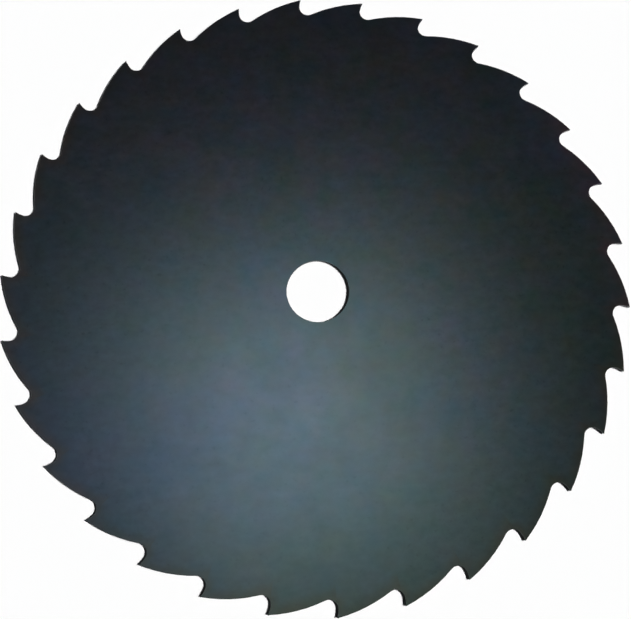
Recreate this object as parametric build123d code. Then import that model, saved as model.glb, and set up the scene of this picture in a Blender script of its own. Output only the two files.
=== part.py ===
from build123d import *
import os
from math import sqrt

# Brush cutter blade: one flat round steel plate with an arbor bore and hooked teeth round its rim.
# It lies on its lower face, at Z = 0, with the bore's axis on the Z axis.
# Seen from above the teeth point clockwise, and one tip lies on the +Y axis.

# Driving dimensions, in millimetres
blade_diameter = 255.0  # circle through the tips
blade_thickness = 1.6
bore_diameter = 25.4
tooth_count = 30
gullet_depth = 7.0  # from the tip circle in to the lowest point of a gullet
gullet_radius = 3.5
hook_overhang = 0.6  # reach of a tip past the steepest point of the wall below it
back_radius = 58.0  # long convex back of a tooth
edge_break = 0.15  # chamfer left by deburring, on the outline and the bore

# Sizes that follow from them
tip_radius = blade_diameter / 2
tooth_pitch_angle = 360 / tooth_count


def circle_crossing(centre_a, radius_a, centre_b, radius_b):
    """Point where two circles cross, on the right of the way from centre a to centre b."""
    span = centre_b - centre_a
    along = (radius_a**2 - radius_b**2 + span.length**2) / (2 * span.length)
    across = sqrt(radius_a**2 - along**2)
    ahead = span.normalized()
    right = Vector(ahead.Y, -ahead.X)
    return centre_a + ahead * along + right * across


def tooth_gap_edges():
    """Outline from one tip to the next, clockwise: hooked front face, round gullet, convex back."""
    tip = Vector(0, tip_radius)
    next_tip = tip.rotate(Axis.Z, -tooth_pitch_angle)

    # The gullet's circle touches its depth, and its left side lies behind the tip by the overhang.
    gullet_x = gullet_radius - hook_overhang
    gullet_y = sqrt((tip_radius - gullet_depth + gullet_radius) ** 2 - gullet_x**2)
    gullet_centre = Vector(gullet_x, gullet_y)
    front_foot = gullet_centre - Vector(gullet_radius, 0)

    # The back's circle passes through the next tip and touches the gullet's circle from inside.
    back_centre = circle_crossing(gullet_centre, gullet_radius + back_radius, next_tip, back_radius)
    inward = (back_centre - gullet_centre).normalized()
    back_foot = gullet_centre + inward * gullet_radius

    front = TangentArc(front_foot, tip, tangent=(0, 1))
    gullet = TangentArc(front_foot, back_foot, tangent=(0, -1))
    back = TangentArc(back_foot, next_tip, tangent=gullet % 1)
    return [front, gullet, back]


def toothed_outline():
    """Closed outline of the rim, with the tooth gap repeated round the blade."""
    gap = tooth_gap_edges()
    rim = [edge.rotate(Axis.Z, -step * tooth_pitch_angle) for step in range(tooth_count) for edge in gap]
    return make_face(rim)


def make_blade():
    """Toothed plate with its arbor bore, and every outline edge broken on both faces."""
    profile = toothed_outline() - Circle(bore_diameter / 2)
    plate = extrude(profile, amount=blade_thickness)
    clamping_faces = plate.faces().filter_by(Plane.XY)
    return chamfer(clamping_faces.edges(), length=edge_break)


os.makedirs("parts", exist_ok=True)
blade = make_blade()
blade.label = "blade"
export_step(blade, "parts/blade.step")
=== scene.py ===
from math import cos, radians, sin, sqrt

import bpy
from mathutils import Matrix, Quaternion, Vector


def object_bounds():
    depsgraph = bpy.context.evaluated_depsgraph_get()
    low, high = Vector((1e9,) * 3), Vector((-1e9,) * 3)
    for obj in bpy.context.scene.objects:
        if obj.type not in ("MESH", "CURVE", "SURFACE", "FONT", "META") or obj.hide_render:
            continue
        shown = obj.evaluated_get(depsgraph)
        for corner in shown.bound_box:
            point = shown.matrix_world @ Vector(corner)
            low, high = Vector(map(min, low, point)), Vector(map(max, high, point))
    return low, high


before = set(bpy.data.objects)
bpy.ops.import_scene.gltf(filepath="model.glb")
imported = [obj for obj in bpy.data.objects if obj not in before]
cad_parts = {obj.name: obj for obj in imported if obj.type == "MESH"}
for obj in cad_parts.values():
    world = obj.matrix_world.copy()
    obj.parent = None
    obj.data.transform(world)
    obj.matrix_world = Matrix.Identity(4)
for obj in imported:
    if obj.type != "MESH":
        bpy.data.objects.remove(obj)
cad_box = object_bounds()

# The photographed view: its aim lies on the blade's upper face, and its lens and sensor are in millimetres
CAMERA_AIM = (-0.0014, -0.0075)
CAMERA_DISTANCE = 0.3793
CAMERA_AZIMUTH = -12.2
CAMERA_ELEVATION = 79.7
CAMERA_ROLL = 9.0
CAMERA_LENS = 53.6
SENSOR_WIDTH = 36.0
CAMERA_NEAR = 0.005

# A soft box hangs over the bore, brighter at its middle: its reflection is the glow on the plate
SOFT_BOX_CENTRE = (-0.006, -0.004)
SOFT_BOX_TURN = 12.0
SOFT_BOX_PARTS = {
    "soft_box_middle": {"height": 0.80, "width": 0.29, "length": 0.32, "power": 1.30},
    "soft_box": {"height": 0.81, "width": 0.45, "length": 0.46, "power": 0.48},
}

# The key lamp at the right makes the floor white, with a thin dark shadow to the left of each edge
KEY_AZIMUTH = -6.0
KEY_ELEVATION = 54.0
KEY_WIDTH = 8.0
KEY_LEVEL = 4.04

# The studio is dark overhead, and towards the horizon as pale as the floor; heights are sines of elevations
OVERHEAD_LEVEL = 0.02
HORIZON_LEVEL = 0.99
HORIZON_TOP = sin(radians(25))
OVERHEAD_FOOT = sin(radians(50))

FLOOR_SIDE = 4.0
FLOOR_GAP = 0.0001
FLOOR_COLOUR = (0.95, 0.95, 0.95, 1)

# The blade's sizes in the CAD model
BLADE_RADIUS = cad_box[1].y
UPPER_FACE = cad_box[1].z
TOOTH_COUNT = 30
TOOTH_PITCH = radians(360 / TOOTH_COUNT)
GULLET_DEPTH = 0.007
GULLET_RADIUS = 0.0035
HOOK_OVERHANG = 0.0006
BACK_RADIUS = 0.058

# Blued steel: seen from above, its oxide drifts from blue at the left to green, and a painted reflection
# turns it violet at the top
BLUE_OXIDE = (0.0405, 0.0600, 0.0820, 1)
GREEN_OXIDE = (0.0415, 0.0630, 0.0630, 1)
OXIDE_WITH_PAINTED_REFLECTION = (0.0525, 0.0595, 0.0725, 1)
GREEN_DRIFT = {"towards": (0.72, -0.5, 0), "start": -0.09, "end": 0.09}
PAINTED_REFLECTION_DRIFT = {"towards": (0, 1, 0), "start": -0.12, "end": 0.16}
DRIFT_WANDER = 0.10

# Bands across the plate: where on Y each comes and goes, and what multiplies the oxide's colour there
BANDS = {
    "green": {"comes": (-0.035, 0.005), "goes": (0.02, 0.07), "factor": (0.93, 1.0, 0.93, 1)},
    "blue": {"comes": (-0.11, -0.07), "goes": (-0.045, -0.015), "factor": (1.01, 1.0, 1.07, 1)},
}

# Paler sides of the plate, painted sheen at the upper right and at the left, and a red tint at the right:
# where each comes, going outwards from the bore's axis, and the same factor
SHEEN_AND_TINT_SIDES = {
    "upper right": {"towards": (0.8, 0.6, 0), "comes": (0.085, 0.125), "factor": (1.03, 1.10, 1.14, 1)},
    "right": {"towards": (0.96, 0.28, 0), "comes": (0.103, 0.120), "factor": (1.30, 1.04, 1.14, 1)},
    "left": {"towards": (-1, 0, 0), "comes": (0.075, 0.120), "factor": (1.05, 1.08, 1.10, 1)},
}

# Cloudy patches, redder or bluer, small and large, which grow stronger towards the upper right
RED_CLOUDS = {"small_amount": 0.52, "large_amount": 0.30, "small_seed": 6.3, "large_seed": 29.4}
BLUE_CLOUDS = {"small_amount": 0.38, "large_amount": 0.30, "small_seed": 7.7, "large_seed": 30.8}
CLOUD_DRIFT = {"towards": (0.45, 0.9, 0), "start": -0.10, "end": 0.12, "low": 0.65, "high": 1.6}

# Heat tints that multiply the oxide's colour near the rim, and fade with the distance from a tooth's edge
RIM_COMES = (0.09, 0.11)
FRINGE_FADES = (-0.0005, 0.0055)
FRINGE_UNEVEN = 0.002
WARM_FRINGE = (1.06, 0.87, 0.74, 1)
PALE_FRINGE = (1.28, 1.12, 1.08, 1)
RED_FRINGE = (1.12, 0.95, 0.97, 1)

# The cut walls, smooth above and torn below, and the edges where handling has thinned the oxide
CUT_STEEL = (0.029, 0.031, 0.035, 1)
TORN_STEEL = (0.060, 0.063, 0.067, 1)
TEAR_FADES = (0.0004, 0.0009)
TEAR_UNEVEN = 0.0004
RUBBED_STEEL = (0.11, 0.115, 0.12, 1)

# How wide the patterns in the steel are
WANDER_WIDTH = 0.05
LARGE_CLOUD_WIDTH = 0.020
SMALL_CLOUD_WIDTH = 0.008
FRINGE_WIDTH = 0.003
STREAK_WIDTH = 0.0032
GRAIN_WIDTH = 0.0017
PORE_WIDTH = 0.0016
TOOL_MARK_WIDTH = 0.0005
WEAR_WIDTH = 0.003
SHEEN_WIDTH = 0.014
WAVE_WIDTH = 0.02

# How much the patterns change the oxide's shade and its roughness
STREAK_SHADE = 0.32
GRAIN_SHADE = 0.16
PORE_SHADE = -0.13
PLATE_ROUGHNESS = 0.345
SHEEN_ROUGHNESS = 0.06
GRAIN_ROUGHNESS = 0.03
STREAK_ROUGHNESS = 0.025
SMOOTH_WALL_ROUGHNESS = 0.05
TORN_WALL_ROUGHNESS = 0.20

# How high the relief is: waves left by flattening, rolling marks, and the tool's marks on the walls
WAVE_HEIGHT = 30e-6
GRAIN_HEIGHT = 4e-6
STREAK_HEIGHT = 3e-6
SMOOTH_MARK_HEIGHT = 12e-6
TORN_MARK_HEIGHT = 30e-6

# The places of a mix node's share and two colours among its inputs, and of the colour that comes out
MIX_INPUTS = (0, 6, 7)
MIX_OUTPUT = 2


class Nodes:
    """A node tree that is built one node at a time."""

    def __init__(self, tree):
        self.tree = tree
        tree.nodes.clear()

    def add(self, kind, inputs=None, **settings):
        """Add a node; its inputs are values, or the sockets that feed them."""
        node = self.tree.nodes.new(kind)
        for name, value in settings.items():
            setattr(node, name, value)
        for name, value in (inputs or {}).items():
            if isinstance(value, bpy.types.NodeSocket):
                self.tree.links.new(value, node.inputs[name])
            else:
                node.inputs[name].default_value = value
        return node

    def math(self, operation, first, second=0.0):
        return self.add("ShaderNodeMath", {0: first, 1: second}, operation=operation).outputs[0]

    def total(self, *terms):
        result = terms[0]
        for term in terms[1:]:
            result = self.math("ADD", result, term)
        return result

    def product(self, *factors):
        result = factors[0]
        for factor in factors[1:]:
            result = self.math("MULTIPLY", result, factor)
        return result

    def vector(self, operation, first, second=(0, 0, 0)):
        return self.add("ShaderNodeVectorMath", {0: first, 1: second}, operation=operation)

    def scaled(self, vector, factor):
        """A place or a colour with each of its three parts multiplied by the factor's."""
        return self.vector("MULTIPLY", vector, factor).outputs["Vector"]

    def distance(self, place, centre):
        return self.vector("DISTANCE", place, centre).outputs["Value"]

    def along(self, place, direction):
        """How far a place lies from the blade's axis in a direction."""
        return self.vector("DOT_PRODUCT", place, direction).outputs["Value"]

    def joined(self, x, y, z):
        return self.add("ShaderNodeCombineXYZ", {"X": x, "Y": y, "Z": z}).outputs["Vector"]

    def swing(self, noise, amount):
        """Noise about 0.5 turned into a change either way, by half the amount at the most."""
        return self.product(self.math("SUBTRACT", noise, 0.5), amount)

    def span(self, value, start, end, low=0.0, high=1.0):
        """Value going smoothly from low, at the start, to high, at the end."""
        limits = {"Value": value, "From Min": start, "From Max": end, "To Min": low, "To Max": high}
        return self.add("ShaderNodeMapRange", limits, interpolation_type="SMOOTHSTEP").outputs["Result"]

    def drift(self, place, towards, wander=0.0, **limits):
        """The same along a direction across the plate, where a wander makes its course uneven."""
        return self.span(self.total(self.along(place, towards), wander), **limits)

    def window(self, value, comes, goes):
        """Value going smoothly from zero to one where it comes, and back to zero where it goes."""
        return self.product(self.span(value, *comes), self.span(value, *goes, low=1.0, high=0.0))

    def noise(self, place, width, stretch=(1, 1, 1), detail=2.0, seed=0.0):
        """Noise around 0.5 whose patches are about as wide as the width, in metres."""
        scale = [part / width for part in stretch]
        moved = self.vector("ADD", self.scaled(place, scale), (seed, seed, seed)).outputs["Vector"]
        settings = {"Vector": moved, "Scale": 1.0, "Detail": detail, "Roughness": 0.5}
        return self.add("ShaderNodeTexNoise", settings).outputs["Fac"]

    def blend(self, share, first, second):
        """Colour between the first and the second."""
        inputs = dict(zip(MIX_INPUTS, (share, first, second)))
        return self.add("ShaderNodeMix", inputs, data_type="RGBA").outputs[MIX_OUTPUT]

    def tint(self, colour, share, factor):
        """Colour multiplied by the factor, as far as the share says."""
        return self.scaled(colour, self.blend(share, (1, 1, 1, 1), factor))


def make_camera():
    azimuth = radians(CAMERA_AZIMUTH)
    elevation = radians(CAMERA_ELEVATION)
    back = Vector((sin(azimuth) * cos(elevation), -cos(azimuth) * cos(elevation), sin(elevation)))
    data = bpy.data.cameras.new("camera")
    data.sensor_width = SENSOR_WIDTH
    data.lens = CAMERA_LENS
    data.clip_start = CAMERA_NEAR
    camera = bpy.data.objects.new("camera", data)
    camera.location = Vector((*CAMERA_AIM, UPPER_FACE)) + back * CAMERA_DISTANCE
    camera.rotation_mode = "QUATERNION"
    level = (-back).to_track_quat("-Z", "Y")
    camera.rotation_quaternion = level @ Quaternion((0, 0, 1), radians(CAMERA_ROLL))
    bpy.context.scene.collection.objects.link(camera)
    bpy.context.scene.camera = camera


def make_soft_box():
    """Lamps that show in the metal and leave the floor's shadow dark."""
    for name, part in SOFT_BOX_PARTS.items():
        data = bpy.data.lights.new(name, "AREA")
        data.shape = "RECTANGLE"
        data.size = part["width"]
        data.size_y = part["length"]
        data.energy = part["power"]
        lamp = bpy.data.objects.new(name, data)
        lamp.location = (*SOFT_BOX_CENTRE, part["height"])
        lamp.rotation_euler.z = radians(SOFT_BOX_TURN)
        lamp.visible_diffuse = False
        bpy.context.scene.collection.objects.link(lamp)


def make_key():
    """The floor's lamp, which doesn't show in the metal."""
    data = bpy.data.lights.new("key", "SUN")
    data.energy = KEY_LEVEL
    data.angle = radians(KEY_WIDTH)
    lamp = bpy.data.objects.new("key", data)
    azimuth = radians(KEY_AZIMUTH)
    elevation = radians(KEY_ELEVATION)
    towards = Vector((cos(azimuth) * cos(elevation), sin(azimuth) * cos(elevation), sin(elevation)))
    lamp.rotation_mode = "QUATERNION"
    lamp.rotation_quaternion = towards.to_track_quat("Z", "Y")
    lamp.visible_glossy = False
    bpy.context.scene.collection.objects.link(lamp)


def make_studio():
    """A pale surround that shows in the metal and leaves the floor's shadow dark."""
    world = bpy.data.worlds.new("studio")
    world.use_nodes = True
    nodes = Nodes(world.node_tree)
    direction = nodes.add("ShaderNodeTexCoord").outputs["Generated"]
    height = nodes.add("ShaderNodeSeparateXYZ", {"Vector": direction}).outputs["Z"]
    level = nodes.span(height, HORIZON_TOP, OVERHEAD_FOOT, HORIZON_LEVEL, OVERHEAD_LEVEL)
    sky = nodes.add("ShaderNodeBackground", {"Color": (1, 1, 1, 1), "Strength": level})
    nodes.add("ShaderNodeOutputWorld", {"Surface": sky.outputs["Background"]})
    bpy.context.scene.world = world
    world.cycles_visibility.diffuse = False


def make_floor():
    mesh = bpy.data.meshes.new("floor")
    half = FLOOR_SIDE / 2
    corners = [(x, y, -FLOOR_GAP) for x, y in ((-half, -half), (half, -half), (half, half), (-half, half))]
    mesh.from_pydata(corners, [], [(0, 1, 2, 3)])
    floor = bpy.data.objects.new("floor", mesh)
    bpy.context.scene.collection.objects.link(floor)
    material = bpy.data.materials.new("pale_floor")
    material.use_nodes = True
    nodes = Nodes(material.node_tree)
    shader = nodes.add("ShaderNodeBsdfDiffuse", {"Color": FLOOR_COLOUR})
    nodes.add("ShaderNodeOutputMaterial", {"Surface": shader.outputs["BSDF"]})
    mesh.materials.append(material)


def tooth_circles():
    """Centres of the circles that a tooth gap follows, in a frame with the tip behind it on +Y."""
    gullet_x = GULLET_RADIUS - HOOK_OVERHANG
    gullet_y = sqrt((BLADE_RADIUS - GULLET_DEPTH + GULLET_RADIUS) ** 2 - gullet_x**2)
    gullet = Vector((gullet_x, gullet_y, 0))
    next_tip = Vector((BLADE_RADIUS * sin(TOOTH_PITCH), BLADE_RADIUS * cos(TOOTH_PITCH), 0))
    span = next_tip - gullet
    reach = GULLET_RADIUS + BACK_RADIUS
    along = (reach**2 - BACK_RADIUS**2 + span.length_squared) / (2 * span.length)
    across = sqrt(reach**2 - along**2)
    ahead = span.normalized()
    back = gullet + ahead * along + Vector((ahead.y, -ahead.x, 0)) * across
    next_gullet = gullet.copy()
    next_gullet.rotate(Quaternion((0, 0, 1), -TOOTH_PITCH))
    return gullet, next_gullet, back


def edge_distance(nodes, axes, radius):
    """Distance from the nearest gullet or back of a tooth."""
    turn = nodes.math("ARCTAN2", axes.outputs["X"], axes.outputs["Y"])
    turn = nodes.math("FLOORED_MODULO", turn, TOOTH_PITCH)
    x = nodes.product(radius, nodes.math("SINE", turn))
    y = nodes.product(radius, nodes.math("COSINE", turn))
    local = nodes.joined(x, y, 0.0)
    gullet, next_gullet, back = tooth_circles()
    nearest = nodes.math("SUBTRACT", BACK_RADIUS, nodes.distance(local, back))
    for centre in (gullet, next_gullet):
        away = nodes.math("SUBTRACT", nodes.distance(local, centre), GULLET_RADIUS)
        nearest = nodes.math("MINIMUM", nearest, away)
    return nearest


def plate_oxide_and_sheen(nodes, place, axes):
    """The oxide's colour over the open plate, with its slow drift and bands, a painted reflection that
    turns its top violet, and painted sheen on its paler sides.
    """
    wander = nodes.swing(nodes.noise(place, WANDER_WIDTH, seed=3.1), DRIFT_WANDER)
    oxide_and_sheen = nodes.blend(nodes.drift(place, wander=wander, **GREEN_DRIFT), BLUE_OXIDE, GREEN_OXIDE)
    # Painted reflection: towards the top the colour turns violet
    oxide_and_sheen = nodes.blend(nodes.drift(place, **PAINTED_REFLECTION_DRIFT), oxide_and_sheen, OXIDE_WITH_PAINTED_REFLECTION)
    level = nodes.total(axes.outputs["Y"], wander)
    for band in BANDS.values():
        oxide_and_sheen = nodes.tint(oxide_and_sheen, nodes.window(level, band["comes"], band["goes"]), band["factor"])
    # Painted sheen on the paler sides, and a red tint at the right
    for side in SHEEN_AND_TINT_SIDES.values():
        outwards = nodes.along(place, side["towards"])
        oxide_and_sheen = nodes.tint(oxide_and_sheen, nodes.span(outwards, *side["comes"]), side["factor"])
    return oxide_and_sheen


def cloud_channel(nodes, place, strength, small_amount, large_amount, small_seed, large_seed):
    """What multiplies one channel of the oxide's colour in its cloudy patches."""
    small = nodes.noise(place, SMALL_CLOUD_WIDTH, detail=3.0, seed=small_seed)
    large = nodes.noise(place, LARGE_CLOUD_WIDTH, detail=1.0, seed=large_seed)
    change = nodes.total(nodes.swing(small, small_amount), nodes.swing(large, large_amount))
    return nodes.total(nodes.product(change, strength), 1.0)


def cloudy_oxide(nodes, oxide_and_sheen, place):
    """The same oxide with its cloudy patches, which leave the green channel as it is."""
    strength = nodes.drift(place, **CLOUD_DRIFT)
    red = cloud_channel(nodes, place, strength, **RED_CLOUDS)
    blue = cloud_channel(nodes, place, strength, **BLUE_CLOUDS)
    return nodes.scaled(oxide_and_sheen, nodes.joined(red, 1.0, blue))


def edge_oxide(nodes, oxide_and_sheen, place, axes, radius):
    """The same oxide, as heat has turned it beside the teeth's cut edges."""
    uneven = nodes.swing(nodes.noise(place, FRINGE_WIDTH, seed=1.3), FRINGE_UNEVEN)
    depth = nodes.total(edge_distance(nodes, axes, radius), uneven)
    near_edge = nodes.span(depth, *FRINGE_FADES, low=1.0, high=0.0)
    fringe = nodes.product(near_edge, nodes.span(radius, *RIM_COMES))
    sideways = nodes.math("ABSOLUTE", axes.outputs["X"])
    warm = nodes.drift(place, towards=(0.6, 0.8, 0), start=0.02, end=0.10, low=1.0, high=0.0)
    pale = nodes.span(sideways, start=0.08, end=0.12)
    red = nodes.drift(place, towards=(0.98, 0.2, 0), start=0.108, end=0.122)
    oxide_and_sheen = nodes.tint(oxide_and_sheen, nodes.product(fringe, warm), WARM_FRINGE)
    oxide_and_sheen = nodes.tint(oxide_and_sheen, nodes.product(fringe, pale), PALE_FRINGE)
    return nodes.tint(oxide_and_sheen, nodes.product(fringe, red), RED_FRINGE)


def blued_steel():
    """Satin blue-black oxide on a rolled plate, with cut walls and lightly rubbed edges."""
    material = bpy.data.materials.new("blued_steel")
    material.use_nodes = True
    nodes = Nodes(material.node_tree)
    place = nodes.add("ShaderNodeTexCoord").outputs["Object"]
    axes = nodes.add("ShaderNodeSeparateXYZ", {"Vector": place})
    normal = nodes.add("ShaderNodeNewGeometry").outputs["True Normal"]
    upright = nodes.math("ABSOLUTE", nodes.add("ShaderNodeSeparateXYZ", {"Vector": normal}).outputs["Z"])
    radius = nodes.vector("LENGTH", nodes.scaled(place, (1, 1, 0))).outputs["Value"]
    oxide_and_sheen = plate_oxide_and_sheen(nodes, place, axes)
    oxide_and_sheen = cloudy_oxide(nodes, oxide_and_sheen, place)
    oxide_and_sheen = edge_oxide(nodes, oxide_and_sheen, place, axes, radius)

    # Grain drawn out along the direction of rolling, and a few dark pores
    streaks = nodes.noise(place, STREAK_WIDTH, stretch=(0.65, 1, 1), seed=2.4)
    grain = nodes.noise(place, GRAIN_WIDTH, detail=1.0, seed=5.5)
    pits = nodes.noise(place, PORE_WIDTH, detail=1.0, seed=9.2)
    pores = nodes.span(pits, start=0.64, end=0.80, high=PORE_SHADE)
    shade = nodes.total(nodes.swing(streaks, STREAK_SHADE), nodes.swing(grain, GRAIN_SHADE), pores, 1.0)
    oxide_and_sheen = nodes.scaled(oxide_and_sheen, nodes.joined(shade, shade, shade))

    # Cut walls: upright tool marks, smooth near the upper face and torn near the lower one
    wall = nodes.span(upright, start=0.2, end=0.5, low=1.0, high=0.0)
    marks = nodes.noise(place, TOOL_MARK_WIDTH, stretch=(1, 1, 0.04), seed=4.6)
    uneven_height = nodes.total(axes.outputs["Z"], nodes.swing(marks, TEAR_UNEVEN))
    torn = nodes.span(uneven_height, *TEAR_FADES, low=1.0, high=0.0)
    oxide_and_sheen = nodes.blend(wall, oxide_and_sheen, nodes.blend(marks, CUT_STEEL, TORN_STEEL))

    # Broken edges, where handling has rubbed the oxide thin
    edge = nodes.window(upright, comes=(0.3, 0.6), goes=(0.8, 0.98))
    handling = nodes.noise(place, WEAR_WIDTH, detail=3.0, seed=8.8)
    wear = nodes.span(handling, start=0.45, end=0.75, high=0.45)
    oxide_and_sheen = nodes.blend(nodes.product(edge, wear), oxide_and_sheen, RUBBED_STEEL)

    roughness = nodes.total(
        nodes.swing(nodes.noise(place, SHEEN_WIDTH, detail=3.0, seed=6.1), SHEEN_ROUGHNESS),
        nodes.swing(grain, GRAIN_ROUGHNESS),
        nodes.swing(streaks, STREAK_ROUGHNESS),
        nodes.product(wall, nodes.span(torn, 0.0, 1.0, SMOOTH_WALL_ROUGHNESS, TORN_WALL_ROUGHNESS)),
        PLATE_ROUGHNESS,
    )
    height = nodes.total(
        nodes.swing(nodes.noise(place, WAVE_WIDTH, detail=1.0, seed=0.7), WAVE_HEIGHT),
        nodes.swing(grain, GRAIN_HEIGHT),
        nodes.swing(streaks, STREAK_HEIGHT),
        nodes.product(marks, wall, nodes.span(torn, 0.0, 1.0, SMOOTH_MARK_HEIGHT, TORN_MARK_HEIGHT)),
    )
    bump = nodes.add("ShaderNodeBump", {"Height": height, "Distance": 1.0, "Strength": 1.0})

    shader = nodes.add("ShaderNodeBsdfPrincipled", {
        "Base Color": oxide_and_sheen,
        "Metallic": 1.0,
        "Roughness": roughness,
        "Normal": bump.outputs["Normal"],
    })
    nodes.add("ShaderNodeOutputMaterial", {"Surface": shader.outputs["BSDF"]})
    return material


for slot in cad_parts["blade"].material_slots:
    slot.material = blued_steel()
make_camera()
make_soft_box()
make_key()
make_studio()
make_floor()
bpy.context.scene.view_settings.view_transform = "Standard"
